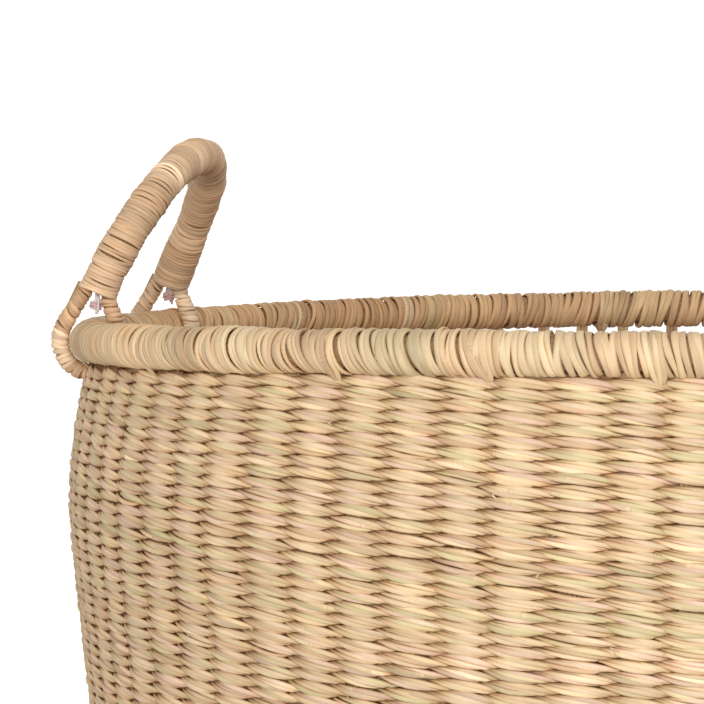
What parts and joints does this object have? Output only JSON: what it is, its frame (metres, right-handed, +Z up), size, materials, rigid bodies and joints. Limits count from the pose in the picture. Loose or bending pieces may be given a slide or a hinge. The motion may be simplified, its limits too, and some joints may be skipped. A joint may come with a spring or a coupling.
{
  "type": "storage basket",
  "caption": "Round open storage basket twined from dried grass, with a wrapped bundle rim and upright wrapped loop handles that swing on the rim.",
  "frame": {"origin": "centre of the base, on the surface that the basket stands on", "axes": "+Z up, out of the basket's mouth; X through the middles of the handles"},
  "size_m": [0.4954, 0.494, 0.4285],
  "materials": {
    "wall_weave": "matte",
    "base_weave": "matte",
    "stakes": "matte",
    "bundle": "matte",
    "rim_wrapping": "satin",
    "lashing": "satin",
    "handle_wrapping": "satin",
    "core_straw": "matte",
    "tie_thread": "matte"
  },
  "bodies": {
    "basket": {"base_start": "base_weave", "base_spokes": "stakes", "base_weft_outer": "base_weave", "base_weft_inner": "base_weave", "wall_stakes": "stakes", "wall_weft_outer": "wall_weave", "wall_weft_inner": "wall_weave", "rim_core": "bundle", "rim_wrap_front": "rim_wrapping", "rim_wrap_right": "rim_wrapping", "rim_wrap_back": "rim_wrapping", "rim_wrap_left": "rim_wrapping", "rim_stitches": "lashing"},
    "left_handle": {"left_handle_core": "bundle", "left_handle_wrap": "handle_wrapping", "left_loop_front_core": "core_straw", "left_loop_front_wrap": "handle_wrapping", "left_loop_back_core": "core_straw", "left_loop_back_wrap": "handle_wrapping", "left_core_tails": "core_straw", "left_fork_ties": "tie_thread"},
    "right_handle": {"right_handle_core": "bundle", "right_handle_wrap": "handle_wrapping", "right_loop_front_core": "core_straw", "right_loop_front_wrap": "handle_wrapping", "right_loop_back_core": "core_straw", "right_loop_back_wrap": "handle_wrapping", "right_core_tails": "core_straw", "right_fork_ties": "tie_thread"}
  },
  "joints": [
    {"name": "left_handle_swing", "type": "hinge", "parent": "basket", "child": "left_handle", "pos_m": [-0.22989, 0, 0.3503], "axis": [0, 1, 0], "range_deg": [-45, 60]},
    {"name": "right_handle_swing", "type": "hinge", "parent": "basket", "child": "right_handle", "pos_m": [0.22989, 0, 0.3503], "axis": [0, -1, 0], "range_deg": [-45, 60]}
  ]
}
